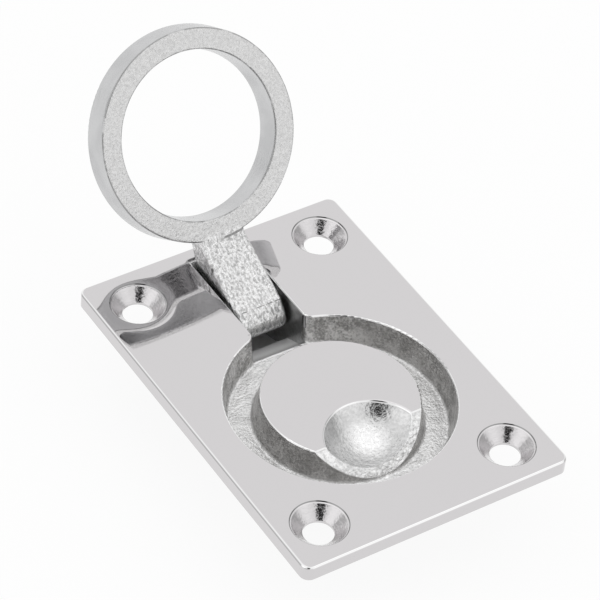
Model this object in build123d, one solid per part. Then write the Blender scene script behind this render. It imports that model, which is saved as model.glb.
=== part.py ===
from build123d import *
import os
from math import acos, atan2, cos, hypot, radians, sin, tan

# Flush lift ring: a cast plate with a round recess, a ring with a stem that swings in it, and a hinge pin.
# Millimetres. The origin is the centre of the screw pattern on the mounting face, the underside of the
# flange. +X runs across the plate, +Y from the finger scoop towards the hinge, +Z out of the surface.

# Flange, 45 mm by 63.5 mm: the recess and the hinge set its size, with these margins round them
side_margin = 5.35
front_margin = 8.95
rear_margin = 10.3
plate_thickness = 2.4
plate_corner_radius = 1.5
plate_edge_round = 0.4

# Four countersunk screw holes, so far in from the sides and the ends
screw_inset_x = 6.5
screw_inset_y = 6.75
screw_hole_diameter = 4.6
countersink_diameter = 8.6
countersink_angle = 90.0

# Round recess: a groove around an island whose top is level with the flange
recess_diameter = 34.3
groove_width = 5.35
groove_depth = 4.8
wall_draft = 10.0
groove_floor_round = 0.5
lip_round = 0.25
cast_wall = 1.6

# Finger scoop in the island: a sloping front face with a round hollow across it
scoop_face_inset = 4.5
scoop_face_slope = 40.0
scoop_centre_inset = 2.6
scoop_radius = 9.6
scoop_depth = 3.7

# Hinge pocket, which the stem swings in
slot_width = 9.1
slot_corner_round = 1.5
pocket_mouth_inset = 1.1
pocket_step_run = 1.2
pocket_step_drop = 1.5
pocket_step_round = 0.4
pocket_ramp_slope = 26.0
pocket_gap = 0.25
hinge_side_wall = 2.0
hinge_box_chamfer = 0.8
stop_gap = 0.04

# Lift ring and stem
ring_side_gap = 0.2
ring_floor_gap = 0.2
ring_draft = 3.0
ring_edge_round = 0.35
stem_side_gap = 0.4
stem_taper = 1.0
stem_drop = 0.8
stem_shoulder = 0.3
stem_slope = 34.0
stem_edge_round = 0.7
heel_lead = 0.95
heel_flat = 2.1
heel_slope = 6.5
heel_round = 2.4
open_angle = 121.5

# Hinge pin
pin_diameter = 3.0
pin_offset = 9.95
pin_depth = 4.8
pin_running_gap = 0.05
pin_end_chamfer = 0.3

# Worked-out values
above = 3.0
touch = 0.01
plate_length = front_margin + recess_diameter + pin_offset + rear_margin
plate_width = recess_diameter + 2 * side_margin
recess_y = front_margin + recess_diameter / 2 - plate_length / 2
island_diameter = recess_diameter - 2 * groove_width
groove_flare = groove_depth * tan(radians(wall_draft))
groove_outer_radius = recess_diameter / 2 - groove_flare
island_base_radius = island_diameter / 2 + groove_flare
groove_floor_z = plate_thickness - groove_depth
cup_floor_z = groove_floor_z - cast_wall
ring_outer_radius = groove_outer_radius - ring_side_gap
ring_inner_radius = island_base_radius + ring_side_gap
ring_thickness = groove_depth - ring_floor_gap
ring_low_z = plate_thickness - ring_thickness
pin_y = plate_length / 2 - rear_margin
pin_z = plate_thickness - pin_depth
pin_length = slot_width + 2 * hinge_side_wall
barrel_radius = pin_depth - stem_drop
mouth_y = recess_y + recess_diameter / 2 - pocket_mouth_inset
scoop_y = recess_y - island_diameter / 2 + scoop_centre_inset
scoop_z = plate_thickness + scoop_radius - scoop_depth
hinge_axis = Axis((0, pin_y, pin_z), (1, 0, 0))

# The stem's heel in side view: a crease on its sloping face, a flat, and the centre of the round behind it
stem_top_z = plate_thickness - stem_drop
shoulder_y = recess_y + ring_outer_radius + stem_shoulder
heel_fall = radians(heel_slope)
crease_y = pin_y - heel_lead
crease_z = ring_low_z - (crease_y - shoulder_y) * tan(radians(stem_slope))
flat_end_y = crease_y + heel_flat * cos(heel_fall)
flat_end_z = crease_z - heel_flat * sin(heel_fall)
heel_y = flat_end_y + heel_round * sin(heel_fall)
heel_z = flat_end_z + heel_round * cos(heel_fall)
heel_distance = hypot(heel_y - pin_y, heel_z - pin_z)
heel_reach = heel_distance + heel_round
pocket_radius = heel_reach + pocket_gap

# The back wall of the slot is where the open stem's back comes to rest on the rounded lip
lean = radians(open_angle)
lip_reach = barrel_radius + stop_gap + lip_round
stop_y = pin_y - lip_round + (lip_reach - (pin_depth - lip_round) * cos(lean)) / sin(lean)


def side_profile(points):
    """A closed outline in the Y-Z plane, from points given as (y, z)."""
    return make_face(Plane.YZ * Polyline(*points, close=True))


def across(profile, width):
    """A side profile made solid, centred on the plane X = 0."""
    return extrude(profile, amount=width / 2, dir=(1, 0, 0), both=True)


def turned(section, y):
    """A section in the X-Z plane turned about the upright line through y."""
    return revolve(Pos(0, y, 0) * section, Axis((0, y, 0), (0, 0, 1)), 360)


def upright_section(points):
    """A closed outline in the X-Z plane, from points given as (x, z)."""
    return make_face(Plane.XZ * Polyline(*points, close=True))


def flange():
    outline = RectangleRounded(plate_width, plate_length, plate_corner_radius)
    plate = extrude(outline, amount=plate_thickness)
    return fillet(plate.faces().sort_by(Axis.Z)[-1].edges(), plate_edge_round)


def cup():
    """The underside of the groove: a shallow drafted dish that hangs below the flange."""
    top_radius = recess_diameter / 2 + cast_wall
    bottom_radius = groove_outer_radius + cast_wall
    overlap_z = plate_thickness / 2
    section = upright_section([(0, overlap_z), (top_radius, overlap_z), (top_radius, 0),
                               (bottom_radius, cup_floor_z), (0, cup_floor_z)])
    rim = section.vertices().filter_by(lambda v: v.X > 1 and v.Z < cup_floor_z + touch)
    return turned(chamfer(rim, cast_wall / 2), recess_y)


def below(level):
    """Everything under a level, seen from the side."""
    far = plate_length
    return side_profile([(-far, level), (far, level), (far, -far), (-far, -far)])


def round_bottom(wall, top):
    """The space about the pin, grown by a wall thickness: a round bottom and an upright back."""
    radius = pocket_radius + wall
    far_y = max(pin_y + touch, stop_y - pocket_radius)
    space = side_profile([(pin_y, pin_z - radius), (far_y, pin_z - radius), (far_y, pin_z),
                          (far_y + radius, pin_z), (far_y + radius, top), (pin_y, top)])
    for y in (pin_y, far_y):
        space += Plane.YZ * Pos(y, pin_z) * Circle(radius)
    return space & below(top)


def pocket_profile():
    """Where the stem and its heel move: a step and a ramp down from the recess to the round bottom."""
    step_y, step_z = mouth_y + pocket_step_run, groove_floor_z - pocket_step_drop
    ramp = radians(pocket_ramp_slope)
    ramp_end = (pin_y - step_y) * cos(ramp) + (step_z - pin_z) * sin(ramp)
    outline = side_profile([(mouth_y - above, plate_thickness), (mouth_y - above, groove_floor_z),
                            (mouth_y, groove_floor_z), (step_y, step_z),
                            (step_y + ramp_end * cos(ramp), step_z - ramp_end * sin(ramp)),
                            (pin_y, pin_z), (pin_y, plate_thickness)])
    step = outline.vertices().filter_by(lambda v: abs(v.Y - mouth_y) < touch and v.Z < 0)
    return fillet(step, pocket_step_round) + round_bottom(0, plate_thickness)


def hinge_box():
    """The cast housing round the hinge pocket: an even wall that hangs from the cup and the flange."""
    radius = pocket_radius + cast_wall
    front_y = mouth_y - cast_wall
    root_z = plate_thickness / 2
    rise = pin_z - cup_floor_z
    angle = acos(radius / hypot(pin_y - front_y, rise)) - atan2(rise, pin_y - front_y)
    outline = side_profile([(front_y, root_z), (front_y, cup_floor_z),
                            (pin_y - radius * cos(angle), pin_z - radius * sin(angle)),
                            (pin_y, pin_z), (pin_y, root_z)])
    box = across(outline + round_bottom(cast_wall, root_z), pin_length)
    sides = [e for e in box.edges() if abs(e.center().X) > pin_length / 2 - touch]
    return chamfer([e for e in sides if e.center().Z < cup_floor_z], hinge_box_chamfer)


def groove():
    """The drafted space between the island and the outer wall of the recess."""
    flare = (groove_depth + above) * tan(radians(wall_draft))
    top = plate_thickness + above
    section = upright_section([(island_base_radius - flare, top), (groove_outer_radius + flare, top),
                               (groove_outer_radius, groove_floor_z), (island_base_radius, groove_floor_z)])
    return turned(section, recess_y)


def ring_room():
    """The groove with the slot that opens into it, their corners and floor edges rounded as one shape."""
    start_y = recess_y + island_base_radius + slot_corner_round
    slot = Pos(0, (start_y + stop_y) / 2, groove_floor_z) * Box(
        slot_width, stop_y - start_y, groove_depth + above, align=(Align.CENTER, Align.CENTER, Align.MIN))
    room = groove() + slot
    walls = [e for e in room.edges() if abs(abs(e.center().X) - slot_width / 2) < touch]
    corners = [e for e in walls if e.geom_type == GeomType.HYPERBOLA and e.center().Y > recess_y]
    room = fillet(corners, slot_corner_round)
    floor = room.edges().filter_by(lambda e: e.bounding_box().max.Z < groove_floor_z + touch)
    return fillet(floor, groove_floor_round)


def sloping_face(shift):
    """Everything in front of the island's sloping face, moved inwards by shift."""
    slope = radians(scoop_face_slope)
    y = recess_y - island_diameter / 2 + scoop_face_inset + shift / sin(slope)
    reach = plate_length
    return side_profile([(y + above / tan(slope), plate_thickness + above),
                         (y - reach / tan(slope), plate_thickness - reach),
                         (y - 2 * reach, plate_thickness + above)])


def scoop():
    """The finger scoop: the sloping face and the round hollow, as far as the groove floor."""
    tool = across(sloping_face(0), recess_diameter) + Pos(0, scoop_y, scoop_z) * Sphere(scoop_radius)
    room = Pos(0, recess_y, groove_floor_z) * Cylinder(
        island_base_radius, groove_depth + above, align=(Align.CENTER, Align.CENTER, Align.MIN))
    return tool & room


def island_core():
    """The hollow under the island, which keeps the casting's wall even."""
    slope = tan(radians(wall_draft))
    top_z = plate_thickness - cast_wall
    top_radius = island_diameter / 2 - cast_wall
    depth = top_z - cup_floor_z + above
    section = upright_section([(0, top_z), (top_radius, top_z), (top_radius + depth * slope, top_z - depth),
                               (0, top_z - depth)])
    ball = Pos(0, scoop_y, scoop_z) * Sphere(scoop_radius + cast_wall)
    return turned(section, recess_y) - ball - across(sloping_face(cast_wall), recess_diameter)


def screw_hole():
    """One countersunk hole through the flange."""
    hole_radius = screw_hole_diameter / 2
    head_radius = countersink_diameter / 2
    cone_low_z = plate_thickness - (head_radius - hole_radius) / tan(radians(countersink_angle / 2))
    top = plate_thickness + above
    section = upright_section([(0, -above), (hole_radius, -above), (hole_radius, cone_low_z),
                               (head_radius, plate_thickness), (head_radius, top), (0, top)])
    return revolve(section, Axis.Z, 360)


def pin_hole(radius):
    return Pos(0, pin_y, pin_z) * Rot(0, 90, 0) * Cylinder(radius, pin_length + 2 * above)


def show_lips(body):
    """The edges where the show face meets the recess, the slot and the scoop."""
    level = [f for f in body.faces() if f.geom_type == GeomType.PLANE]
    show = [f for f in level if f.center().Z > plate_thickness - touch]
    lips = [e for f in show for w in f.inner_wires() for e in w.edges()]
    return lips + [e for f in show if not f.inner_wires() for e in f.edges()]


def flush_plate():
    body = flange() + cup() + hinge_box()
    body -= ring_room()
    body = fillet(show_lips(body), lip_round)
    body -= across(pocket_profile(), slot_width)
    body -= scoop()
    body -= island_core()
    spacing = plate_width - 2 * screw_inset_x, plate_length - 2 * screw_inset_y
    body -= [place * screw_hole() for place in GridLocations(*spacing, 2, 2)]
    body -= pin_hole(pin_diameter / 2)
    return body


def ring_hoop():
    """The hoop as it lies in the groove, its top level with the flange."""
    flare = ring_thickness * tan(radians(ring_draft))
    section = upright_section([(ring_inner_radius, ring_low_z), (ring_outer_radius, ring_low_z),
                               (ring_outer_radius + flare, plate_thickness),
                               (ring_inner_radius - flare, plate_thickness)])
    return turned(fillet(section.vertices(), ring_edge_round), recess_y)


def stem_profile():
    """The stem as it lies when shut: flat on top, its underside running down to the heel under the pin.
    The heel has a flat at its lowest place, a round behind it, and a straight back up to the barrel."""
    start_y = recess_y + (ring_inner_radius + ring_outer_radius) / 2
    back = atan2(heel_y - pin_y, pin_z - heel_z) + acos((barrel_radius - heel_round) / heel_distance)
    outline = side_profile([(start_y, stem_top_z), (start_y, ring_low_z), (shoulder_y, ring_low_z),
                            (crease_y, crease_z), (flat_end_y, flat_end_z), (heel_y, heel_z),
                            (heel_y + heel_round * sin(back), heel_z - heel_round * cos(back)),
                            (pin_y + barrel_radius * sin(back), pin_z - barrel_radius * cos(back)),
                            (pin_y, pin_z), (pin_y, stem_top_z)])
    barrel = Plane.YZ * Pos(pin_y, pin_z) * Circle(barrel_radius)
    return outline + barrel + Plane.YZ * Pos(heel_y, heel_z) * Circle(heel_round)


def stem():
    """The stem, a little narrower towards the hoop, with rounded sides."""
    end = slot_width / 2 - stem_side_gap
    end_y = pin_y + heel_reach
    neck = end - (end_y - recess_y) * tan(radians(stem_taper))
    plan = make_face(Polyline((neck, recess_y), (end, end_y), (-end, end_y), (-neck, recess_y), close=True))
    body = across(stem_profile(), slot_width) & extrude(plan, amount=plate_length, both=True)
    sides = [e for f in body.faces() if abs(f.normal_at().X) > 0.9 for e in f.edges()]
    hoop_end_y = recess_y + ring_outer_radius
    return fillet([e for e in sides if e.bounding_box().max.Y > hoop_end_y], stem_edge_round)


def lift_ring():
    ring = ring_hoop() + stem()
    ring -= pin_hole(pin_diameter / 2 + pin_running_gap)
    return ring.rotate(hinge_axis, -open_angle)


def hinge_pin():
    pin = Cylinder(pin_diameter / 2, pin_length)
    pin = chamfer(pin.edges().filter_by(GeomType.CIRCLE), pin_end_chamfer)
    return Pos(0, pin_y, pin_z) * Rot(0, 90, 0) * pin


os.makedirs("parts", exist_ok=True)
for name, solid in (("flush_plate", flush_plate()), ("lift_ring", lift_ring()), ("hinge_pin", hinge_pin())):
    export_step(solid, f"parts/{name}.step")
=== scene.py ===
from math import cos, radians, sin

import bpy
from mathutils import Matrix, Vector


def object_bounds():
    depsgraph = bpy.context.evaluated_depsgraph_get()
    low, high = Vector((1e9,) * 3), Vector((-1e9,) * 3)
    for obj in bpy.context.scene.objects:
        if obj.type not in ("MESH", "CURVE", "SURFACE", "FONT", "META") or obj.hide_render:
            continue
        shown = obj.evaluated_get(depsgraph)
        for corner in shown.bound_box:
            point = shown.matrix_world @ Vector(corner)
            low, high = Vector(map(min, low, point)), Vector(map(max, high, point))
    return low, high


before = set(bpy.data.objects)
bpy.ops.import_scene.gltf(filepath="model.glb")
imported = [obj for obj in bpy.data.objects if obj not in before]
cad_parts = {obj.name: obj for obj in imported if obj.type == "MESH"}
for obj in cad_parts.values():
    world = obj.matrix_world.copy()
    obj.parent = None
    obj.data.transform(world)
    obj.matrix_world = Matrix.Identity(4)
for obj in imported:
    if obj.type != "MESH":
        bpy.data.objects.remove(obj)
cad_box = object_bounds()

# Camera at the photo's place, from the solve of the plate, ring and holes

AZIMUTH = -36.441
ELEVATION = 43.460
ROLL = 5.931
DISTANCE = 0.50757
LENS = 204.376
SENSOR_WIDTH = 36
TARGET = Vector((0.005704, 0.014390, 0.0024))

# Places on the plate that its finish depends on, in metres

PLATE_TOP = 0.0024
HALF_WIDTH = 0.0225
HALF_LENGTH = 0.03175
RECESS_Y = -0.00565
RECESS_RADIUS = 0.01715
ISLAND_RADIUS = 0.0118
GROOVE_FLOOR = -0.0024
HOLE_X = 0.0160
HOLE_Y = 0.0250
SINK_RADIUS = 0.0043
SCOOP_CENTRE = (0, -0.01485, 0.0083)
SCOOP_RADIUS = 0.0096
SCOOP_RIM = 0.00757
# Middle of the bright spot in the scoop: partly metal worn bright by a fingertip, partly a painted highlight
SCOOP_WEAR_AND_HIGHLIGHT = (0.0007, -0.0122, -0.0008)
SLOPE_POINT = (0, -0.01295, 0.0024)
SLOPE_NORMAL = (0, -0.64279, 0.76604)
POCKET_MOUTH = 0.0104
SLOT_START = 0.0115
SLOT_END = 0.0290
SLOT_HALF = 0.00455
HINGE_PIN = (0, 0.02145, -0.0024)

# Places on the ring as it stands open: the stem's way up from the pin and the crease on its heel, and
# the hoop's middle, axis, half thickness, draft, and outer and inner radius at half its thickness

STEM_WAY = (0, 0.52250, 0.85264)
STEM_LENGTH = 0.0115
HEEL_CREASE = 0.00095
HOOP_CENTRE = (0, 0.03774, 0.01940)
HOOP_AXIS = (0, 0.85264, -0.52250)
HOOP_HALF = 0.0023
HOOP_DRAFT = 0.0524
HOOP_OUTER = 0.01622
HOOP_INNER = 0.01273

# Tones of the polished flange, and of the ring's rims where they are dull and where they are bright

POLISHED = (0.648, 0.634, 0.641, 1)
DULL_RIM = (0.525, 0.527, 0.533, 1)
BRIGHT_RIM = (0.605, 0.607, 0.612, 1)

# Floor: its size, its gap below the object, its colour, and how much of it is seen as plain white

FLOOR_REACH = 2.0
FLOOR_GAP = 0.0005
FLOOR_COLOR = (0.93, 0.93, 0.93, 1)
FLOOR_WHITE = 0.90

# Patches of the white studio that are brighter or dimmer than the rest. Each has an azimuth from +Y
# towards +X, an elevation, the angles from its middle where it starts to fade and ends, and its amount

BRIGHTER = ((0, 70, 5, 21, 0.28), (106, 64, 5, 20, 0.28), (275, 30, 8, 26, 0.22), (155, 18, 8, 28, 0.18))
DIMMER = ((100, 8, 6, 30, -0.50), (240, 8, 6, 30, -0.50), (312, 8, 6, 30, -0.45))

# The dark around the photographer, given the same way: the share of the light that is missing there

DARK = ((216, 45.5, 10.5, 19, 0.98), (216, 22, 4, 16, 0.45))


def photo_camera():
    a, e, r = radians(AZIMUTH), radians(ELEVATION), radians(ROLL)
    out = Vector((sin(a) * cos(e), -cos(a) * cos(e), sin(e)))
    right = Vector((cos(a), sin(a), 0))
    up = out.cross(right)
    right_rolled = right * cos(r) + up * sin(r)
    up_rolled = up * cos(r) - right * sin(r)
    data = bpy.data.cameras.new("photo_camera")
    data.lens = LENS
    data.sensor_width = SENSOR_WIDTH
    data.clip_start = 0.01
    data.clip_end = 10
    camera = bpy.data.objects.new("photo_camera", data)
    bpy.context.scene.collection.objects.link(camera)
    turn = Matrix((right_rolled, up_rolled, out)).transposed().to_4x4()
    camera.matrix_world = Matrix.Translation(TARGET + out * DISTANCE) @ turn
    bpy.context.scene.camera = camera


class Graph:
    """A node tree, with short calls for the nodes used here."""

    def __init__(self, tree):
        self.tree = tree
        tree.nodes.clear()

    def node(self, kind, **settings):
        made = self.tree.nodes.new(kind)
        for key, value in settings.items():
            setattr(made, key, value)
        return made

    def put(self, socket, value):
        """Links an output to a socket, or sets the socket to a plain value."""
        if isinstance(value, bpy.types.NodeSocket):
            self.tree.links.new(value, socket)
        else:
            socket.default_value = value

    def math(self, operation, a, b=0.0):
        node = self.node("ShaderNodeMath", operation=operation)
        self.put(node.inputs[0], a)
        self.put(node.inputs[1], b)
        return node.outputs[0]

    def vector(self, operation, a, b=(0, 0, 0)):
        node = self.node("ShaderNodeVectorMath", operation=operation)
        self.put(node.inputs[0], a)
        self.put(node.inputs[1], b)
        return node.outputs["Value" if operation in ("DOT_PRODUCT", "LENGTH", "DISTANCE") else "Vector"]

    def chain(self, operation, first, *rest):
        """The same operation on any number of values, from the left."""
        for value in rest:
            first = self.math(operation, first, value)
        return first

    def product(self, *values):
        return self.chain("MULTIPLY", *values)

    def total(self, *values):
        return self.chain("ADD", *values)

    def less(self, a, b):
        return self.math("SUBTRACT", a, b)

    def size(self, value):
        return self.math("ABSOLUTE", value)

    def radius(self, a, b):
        return self.math("SQRT", self.total(self.product(a, a), self.product(b, b)))

    def ramp(self, value, low, high, out_low, out_high, kind="SMOOTHSTEP"):
        """A value from low to high, turned into one from out_low to out_high."""
        node = self.node("ShaderNodeMapRange", interpolation_type=kind)
        self.put(node.inputs["Value"], value)
        for name, number in (("From Min", low), ("From Max", high), ("To Min", out_low), ("To Max", out_high)):
            node.inputs[name].default_value = number
        return node.outputs["Result"]

    def above(self, value, start, width):
        """0 up to the start, and 1 from so far past it."""
        return self.ramp(value, start, start + width, 0, 1)

    def below(self, value, start, width):
        """1 up to the start, and 0 from so far past it."""
        return self.ramp(value, start, start + width, 1, 0)

    def mix(self, factor, a, b):
        node = self.node("ShaderNodeMix", data_type="FLOAT")
        self.put(node.inputs[0], factor)
        self.put(node.inputs[2], a)
        self.put(node.inputs[3], b)
        return node.outputs[0]

    def blend(self, factor, a, b):
        node = self.node("ShaderNodeMix", data_type="RGBA")
        self.put(node.inputs[0], factor)
        self.put(node.inputs[6], a)
        self.put(node.inputs[7], b)
        return node.outputs[2]

    def split(self, vector):
        node = self.node("ShaderNodeSeparateXYZ")
        self.put(node.inputs[0], vector)
        return node.outputs


class Metal(Graph):
    """A metal surface whose roughness, tone and grain vary with the place on the object."""

    def __init__(self, name):
        self.material = bpy.data.materials.new(name)
        self.material.use_nodes = True
        super().__init__(self.material.node_tree)
        output = self.node("ShaderNodeOutputMaterial")
        self.bsdf = self.node("ShaderNodeBsdfPrincipled")
        self.put(output.inputs[0], self.bsdf.outputs[0])
        self.bsdf.inputs["Metallic"].default_value = 1
        coords = self.node("ShaderNodeTexCoord")
        self.place = coords.outputs["Object"]
        self.normal = coords.outputs["Normal"]

    def noise(self, scale, detail=4, roughness=0.5, stretch=None):
        node = self.node("ShaderNodeTexNoise")
        node.inputs["Scale"].default_value = scale
        node.inputs["Detail"].default_value = detail
        node.inputs["Roughness"].default_value = roughness
        source = self.place
        if stretch:
            source = self.vector("MULTIPLY", source, stretch)
        self.put(node.inputs["Vector"], source)
        return node.outputs[0]

    def pits(self, scale, size, rare=0.72):
        """Small scattered hollows: 1 in the middle of each, and 0 between them."""
        node = self.node("ShaderNodeTexVoronoi")
        node.inputs["Scale"].default_value = scale
        self.put(node.inputs["Vector"], self.place)
        chosen = self.above(self.split(node.outputs["Color"])[0], rare, 0.02)
        return self.product(chosen, self.below(node.outputs["Distance"], size * 0.3, size * 0.7))

    def bump(self, height, strength, distance, under=None):
        node = self.node("ShaderNodeBump")
        self.put(node.inputs["Strength"], strength)
        node.inputs["Distance"].default_value = distance
        self.put(node.inputs["Height"], height)
        if under is not None:
            self.put(node.inputs["Normal"], under)
        return node.outputs[0]

    def roll_off(self, distance, width, depth):
        """How far polishing has worn the surface down beside an edge, out to a width from it."""
        near = self.ramp(distance, width, 0, 0, 1, "LINEAR")
        return self.product(near, near, -depth)

    def finish(self, color, roughness, normal):
        self.put(self.bsdf.inputs["Base Color"], color)
        self.put(self.bsdf.inputs["Roughness"], roughness)
        self.put(self.bsdf.inputs["Normal"], normal)


def grey(level, warm=0.0):
    return (level * (1 + warm), level, level * (1 - warm), 1)


class PolishedPlate(Metal):
    """Mirror-polished flange and island top, a buffed scoop, and hollows left as cast."""

    def __init__(self):
        super().__init__("polished_steel")
        self.x, self.y, self.z = self.split(self.place)
        self.side, self.end = self.size(self.x), self.size(self.y)
        self.reach = self.radius(self.x, self.less(self.y, RECESS_Y))
        self.hole = self.radius(self.less(self.side, HOLE_X), self.less(self.end, HOLE_Y))
        self.upright = self.above(self.size(self.split(self.normal)[0]), 0.6, 0.2)

        self.find_recess()
        self.find_slot()
        under = self.below(self.z, -0.0001, 0.0002)
        self.cast = self.math("MAXIMUM", self.less(self.in_recess, self.scoop), self.less(under, self.in_slot))
        self.sink = self.product(self.low, self.below(self.hole, SINK_RADIUS, 0.0001))

        self.grain = self.noise(2500, 3, 0.6)
        self.lumps = self.noise(1100, 2, 0.5)
        self.dimples = self.noise(1900, 3, 0.55)
        self.speckle = self.above(self.mix(0.5, self.grain, self.noise(420, 3, 0.6)), 0.38, 0.24)
        self.finish(self.tone(), self.gloss(), self.relief())
        matte = self.product(self.in_slot, self.less(1.0, self.upright))
        self.put(self.bsdf.inputs["Metallic"], self.mix(matte, 1.0, 0.15))

    def find_recess(self):
        """The recess as a whole, the scoop's ball and the scoop's sloping face."""
        self.low = self.below(self.z, PLATE_TOP - 0.00028, 0.00012)
        self.in_recess = self.product(self.low, self.below(self.reach, RECESS_RADIUS, 0.0002))
        off_ball = self.size(self.less(self.vector("DISTANCE", self.place, SCOOP_CENTRE), SCOOP_RADIUS))
        self.scoop = self.product(self.below(off_ball, 0.00006, 0.00006), self.in_recess)
        from_slope = self.vector("SUBTRACT", self.place, SLOPE_POINT)
        off_slope = self.size(self.vector("DOT_PRODUCT", from_slope, SLOPE_NORMAL))
        self.sloping = self.product(self.below(off_slope, 0.00006, 0.00006), self.in_recess)

    def find_slot(self):
        """The inner faces of the slot and hinge pocket, which look towards the pin, and a painted highlight
        along the pocket's front edge.
        """
        to_pin = self.vector("MULTIPLY", self.vector("SUBTRACT", HINGE_PIN, self.place), (0, 1, 1))
        looks_in = self.above(self.vector("DOT_PRODUCT", to_pin, self.normal), -0.0006, 0.0004)
        inside = self.product(looks_in, self.below(self.side, SLOT_HALF + 0.00035, 0.0002))
        step = self.product(self.below(self.z, GROOVE_FLOOR - 0.0002, 0.0001),
                            self.above(self.y, POCKET_MOUTH, 0.0001))
        self.along_slot = self.math("MAXIMUM", self.above(self.y, SLOT_START, 0.0002), step)
        self.in_slot = self.product(self.low, self.along_slot, inside)
        # Painted highlight: a thin bright line along the pocket's front edge, where the groove floor drops
        # into it
        self.sill_highlight = self.product(self.in_recess, inside, self.above(self.y, POCKET_MOUTH - 0.00042, 0.00008),
                                 self.below(self.side, SLOT_HALF - 0.00015, 0.0002))

    def recess_tone(self):
        """Mottled walls with painted light near the slot, and a lighter floor."""
        # Painted light: the walls are given a lighter tone towards the slot
        painted_light_near_slot = self.product(self.in_recess, self.above(self.y, 0.0040, 0.0060))
        pale = self.blend(painted_light_near_slot, grey(0.63, 0.012), grey(0.94, 0.008))
        wall = self.blend(self.speckle, grey(0.35, 0.018), pale)
        floor = self.blend(self.speckle, grey(0.66, 0.002), grey(0.86, 0.002))
        on_floor = self.product(self.below(self.z, GROOVE_FLOOR + 0.0002, 0.0004), self.in_recess)
        return self.blend(on_floor, wall, floor)

    def scoop_tone(self):
        """Dimpled metal, bright where a fingertip rests: partly worn bright, partly a painted highlight."""
        light = self.above(self.dimples, 0.35, 0.30)
        # Painted highlight together with wear: the scoop is much lighter round this spot
        worn_and_highlit = self.below(self.vector("DISTANCE", self.place, SCOOP_WEAR_AND_HIGHLIGHT), 0.0010, 0.0032)
        return self.blend(worn_and_highlit, self.blend(light, grey(0.58), grey(0.68)),
                          self.blend(light, grey(0.86), grey(0.98)))

    def slot_tone(self):
        """Mottled sides, and a floor with painted shade at the pocket's mouth and painted light further in."""
        # Painted shade and painted light: dark at the pocket's mouth, lightening to near white further in
        pocket_floor_shade_and_light = self.blend(self.above(self.y, POCKET_MOUTH, 0.0028), grey(0.13), grey(0.97))
        return self.blend(self.upright, pocket_floor_shade_and_light, self.blend(self.speckle, grey(0.50), grey(0.66)))

    def tone(self):
        slope_tone = self.blend(self.above(self.dimples, 0.40, 0.20), grey(0.70), grey(0.94))
        # Painted highlight: a bright band round the top edges of the recess, slot and plate
        lip_highlights = self.product(self.above(self.z, PLATE_TOP - 0.00022, 0.00008),
                            self.below(self.z, PLATE_TOP - 0.00002, 0.00001),
                            self.above(self.hole, SINK_RADIUS, 0.0001))
        # Painted shade: a thin dark line round the top edge of each countersink
        rim = self.product(self.above(self.hole, SINK_RADIUS - 0.00016, 0.00008),
                           self.below(self.hole, SINK_RADIUS, 0.00006))
        color = self.blend(self.cast, POLISHED, self.recess_tone())
        for zone, its_tone in ((self.sloping, slope_tone), (self.sill_highlight, grey(0.97)),
                               (self.in_slot, self.slot_tone()), (self.scoop, self.scoop_tone()),
                               (lip_highlights, grey(0.86)), (rim, grey(0.30))):
            color = self.blend(zone, color, its_tone)
        return color

    def gloss(self):
        shine = self.ramp(self.noise(130, 3), 0.3, 0.7, 0.015, 0.04)
        shine = self.mix(self.sink, shine, 0.09)
        shine = self.mix(self.in_slot, shine, 0.30)
        shine = self.mix(self.cast, shine, 0.28)
        return self.mix(self.scoop, shine, 0.12)

    def relief(self):
        """Edges worn down by polishing, turned rings in the countersinks, a dimpled scoop and cast grain."""
        beside_slot = self.product(self.along_slot, self.below(self.y, SLOT_END, 0.0010))
        worn = self.total(self.roll_off(self.less(self.hole, SINK_RADIUS), 0.0022, 0.00011),
                          self.roll_off(self.less(self.reach, RECESS_RADIUS), 0.0012, 0.00006),
                          self.product(self.roll_off(self.less(self.side, SLOT_HALF), 0.0012, 0.00006),
                                       beside_slot))
        worn = self.product(worn, self.above(self.reach, ISLAND_RADIUS, 0.0004))
        brim = self.math("MINIMUM", self.less(HALF_WIDTH, self.side), self.less(HALF_LENGTH, self.end))
        from_scoop = self.radius(self.x, self.less(self.y, SCOOP_CENTRE[1]))
        worn = self.total(worn, self.roll_off(brim, 0.0010, 0.00004),
                          self.roll_off(self.less(from_scoop, SCOOP_RIM), 0.00045, 0.00007))
        worn = self.product(worn, self.above(self.z, PLATE_TOP - 0.0003, 0.0002))
        rings = self.noise(2600, 3, 0.65, (0.35, 0.35, 1))
        polished = self.bump(worn, 1.0, 1.0)
        turned = self.bump(rings, self.sink, 0.00008, polished)
        buffed = self.bump(self.dimples, self.scoop, 0.00008, turned)
        return self.bump(self.mix(0.45, self.grain, self.lumps), self.cast, 0.00032, buffed)


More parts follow.
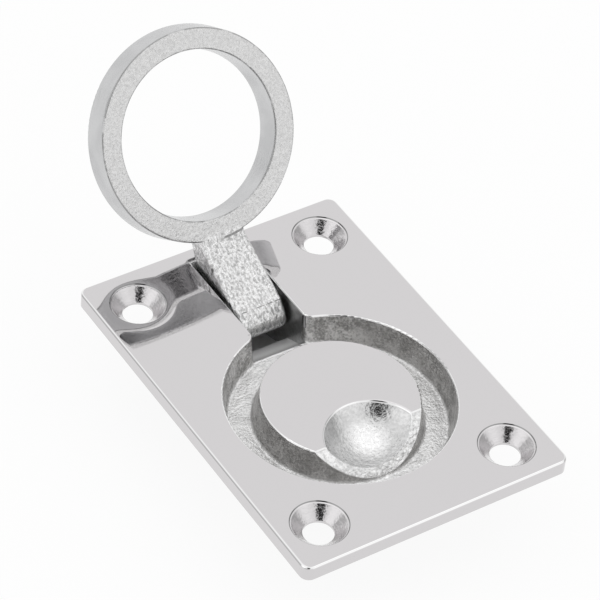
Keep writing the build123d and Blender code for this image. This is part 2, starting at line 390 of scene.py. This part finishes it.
class TumbledRing(Metal):
    """Satin hoop and stem, grainy on the flat faces, smoother round the rims, coarser on the stem."""

    def __init__(self):
        super().__init__("tumbled_steel")
        from_pin = self.vector("SUBTRACT", self.place, HINGE_PIN)
        self.along = self.vector("DOT_PRODUCT", from_pin, STEM_WAY)
        self.stem = self.below(self.vector("LENGTH", from_pin), STEM_LENGTH, 0.0010)
        self.heel = self.below(self.along, HEEL_CREASE - 0.0001, 0.0001)
        self.flat = self.above(self.size(self.vector("DOT_PRODUCT", self.normal, HOOP_AXIS)), 0.6, 0.2)
        self.grain = self.noise(2400, 4, 0.6)
        self.lumps = self.noise(1400, 2, 0.5)
        self.scratches = self.noise(2500, 4, 0.65, (1, 0.7, 0.45))
        self.hollows = self.pits(330, 0.16)
        self.finish(self.tone(), self.gloss(), self.relief())

    def corner_shade_lines(self):
        """Painted shade: broken dark lines along the hoop's four corners."""
        from_centre = self.vector("SUBTRACT", self.place, HOOP_CENTRE)
        height = self.vector("DOT_PRODUCT", from_centre, HOOP_AXIS)
        straight = self.vector("LENGTH", from_centre)
        reach = self.math("SQRT", self.less(self.product(straight, straight), self.product(height, height)))
        draft = self.product(height, HOOP_DRAFT)
        outer = self.size(self.less(self.less(reach, draft), HOOP_OUTER))
        inner = self.size(self.less(self.total(reach, draft), HOOP_INNER))
        corner = self.radius(self.math("MINIMUM", outer, inner), self.less(HOOP_HALF, self.size(height)))
        return self.product(self.below(corner, 0.00015, 0.00006), self.below(self.noise(260, 3), 0.48, 0.12))

    def stem_tone(self):
        """Bright strokes on the stem, with painted shade on its heel, along the crease and in the pits."""
        strokes = self.above(self.scratches, 0.32, 0.28)
        # Painted shade: the heel is given darker tones than the rest of the stem
        tone = self.blend(self.heel, self.blend(strokes, grey(0.45), grey(0.94)),
                          self.blend(strokes, grey(0.34), grey(0.90)))
        # Painted shade: a broken dark line along the crease, and dark pits
        crease = self.product(self.below(self.size(self.less(self.along, HEEL_CREASE)), 0.00003, 0.00007),
                              self.above(self.lumps, 0.42, 0.10))
        return self.blend(self.math("MAXIMUM", self.hollows, crease), tone, grey(0.20))

    def tone(self):
        face = self.blend(self.above(self.grain, 0.34, 0.32), grey(0.60, 0.002), grey(0.73, 0.002))
        rim = self.blend(self.above(self.noise(120, 3, 0.6), 0.35, 0.30), DULL_RIM, BRIGHT_RIM)
        color = self.blend(self.stem, self.blend(self.flat, rim, face), self.stem_tone())
        # Painted shade along the hoop's corners
        return self.blend(self.corner_shade_lines(), color, grey(0.34))

    def gloss(self):
        shine = self.mix(self.flat, 0.22, self.ramp(self.grain, 0.3, 0.7, 0.22, 0.32))
        return self.mix(self.stem, shine, 0.17)

    def relief(self):
        on_hoop = self.mix(0.4, self.grain, self.lumps)
        on_stem = self.less(self.scratches, self.product(self.hollows, 0.7))
        strength = self.mix(self.stem, self.mix(self.flat, 0.25, 1.0), self.mix(self.heel, 1.0, 0.60))
        return self.bump(self.mix(self.stem, on_hoop, on_stem), strength, 0.00030)


class GroundPin(Metal):
    """Ground bar, with fine lines along it."""

    def __init__(self):
        super().__init__("pin_steel")
        lines = self.noise(900, 3, 0.6, (0.04, 1, 1))
        self.finish(self.blend(lines, grey(0.52), grey(0.62)), self.ramp(lines, 0.3, 0.7, 0.22, 0.34),
                    self.bump(lines, 0.15, 0.0001))


def dress(name, metal):
    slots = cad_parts[name].data.materials
    for i in range(len(slots)):
        slots[i] = metal.material


def floor():
    """A pale matte floor, seen mostly as plain white, that keeps the object's shadow."""
    mesh = bpy.data.meshes.new("floor")
    corners = [(x * FLOOR_REACH, y * FLOOR_REACH, 0) for x, y in ((-1, -1), (1, -1), (1, 1), (-1, 1))]
    mesh.from_pydata(corners, [], [(0, 1, 2, 3)])
    ground = bpy.data.objects.new("floor", mesh)
    ground.location.z = cad_box[0].z - FLOOR_GAP
    bpy.context.scene.collection.objects.link(ground)
    material = bpy.data.materials.new("floor")
    material.use_nodes = True
    g = Graph(material.node_tree)
    path = g.node("ShaderNodeLightPath")
    white = g.node("ShaderNodeEmission")
    matte = g.node("ShaderNodeBsdfDiffuse")
    matte.inputs["Color"].default_value = FLOOR_COLOR
    seen = g.math("MAXIMUM", path.outputs["Is Camera Ray"], path.outputs["Is Glossy Ray"])
    both = g.node("ShaderNodeMixShader")
    g.put(both.inputs[0], g.product(seen, FLOOR_WHITE))
    g.put(both.inputs[1], matte.outputs[0])
    g.put(both.inputs[2], white.outputs[0])
    g.put(g.node("ShaderNodeOutputMaterial").inputs[0], both.outputs[0])
    mesh.materials.append(material)


def heading(azimuth, elevation):
    """The direction so many degrees round from +Y towards +X, and so many up."""
    a, e = radians(azimuth), radians(elevation)
    return sin(a) * cos(e), cos(a) * cos(e), sin(e)


def studio():
    """A white studio, a little brighter overhead and at the left, dimmer low down, dark by the camera."""
    world = bpy.data.worlds.new("studio")
    bpy.context.scene.world = world
    world.use_nodes = True
    g = Graph(world.node_tree)
    ray = g.node("ShaderNodeTexCoord").outputs["Generated"]

    def patch(azimuth, elevation, inner, outer, amount):
        near = g.vector("DOT_PRODUCT", ray, heading(azimuth, elevation))
        return g.ramp(near, cos(radians(outer)), cos(radians(inner)), 0, amount)

    level = g.total(1.0, *(patch(*given) for given in BRIGHTER + DIMMER))
    level = g.product(level, *(g.less(1.0, patch(*given)) for given in DARK))
    path = g.node("ShaderNodeLightPath")
    sky = g.node("ShaderNodeBackground")
    sky.inputs["Color"].default_value = (1, 1, 1, 1)
    g.put(sky.inputs["Strength"], g.mix(path.outputs["Is Camera Ray"], level, 1.0))
    g.put(g.node("ShaderNodeOutputWorld").inputs[0], sky.outputs[0])


photo_camera()
dress("flush_plate", PolishedPlate())
dress("lift_ring", TumbledRing())
dress("hinge_pin", GroundPin())
floor()
studio()
bpy.context.scene.view_settings.view_transform = "Standard"
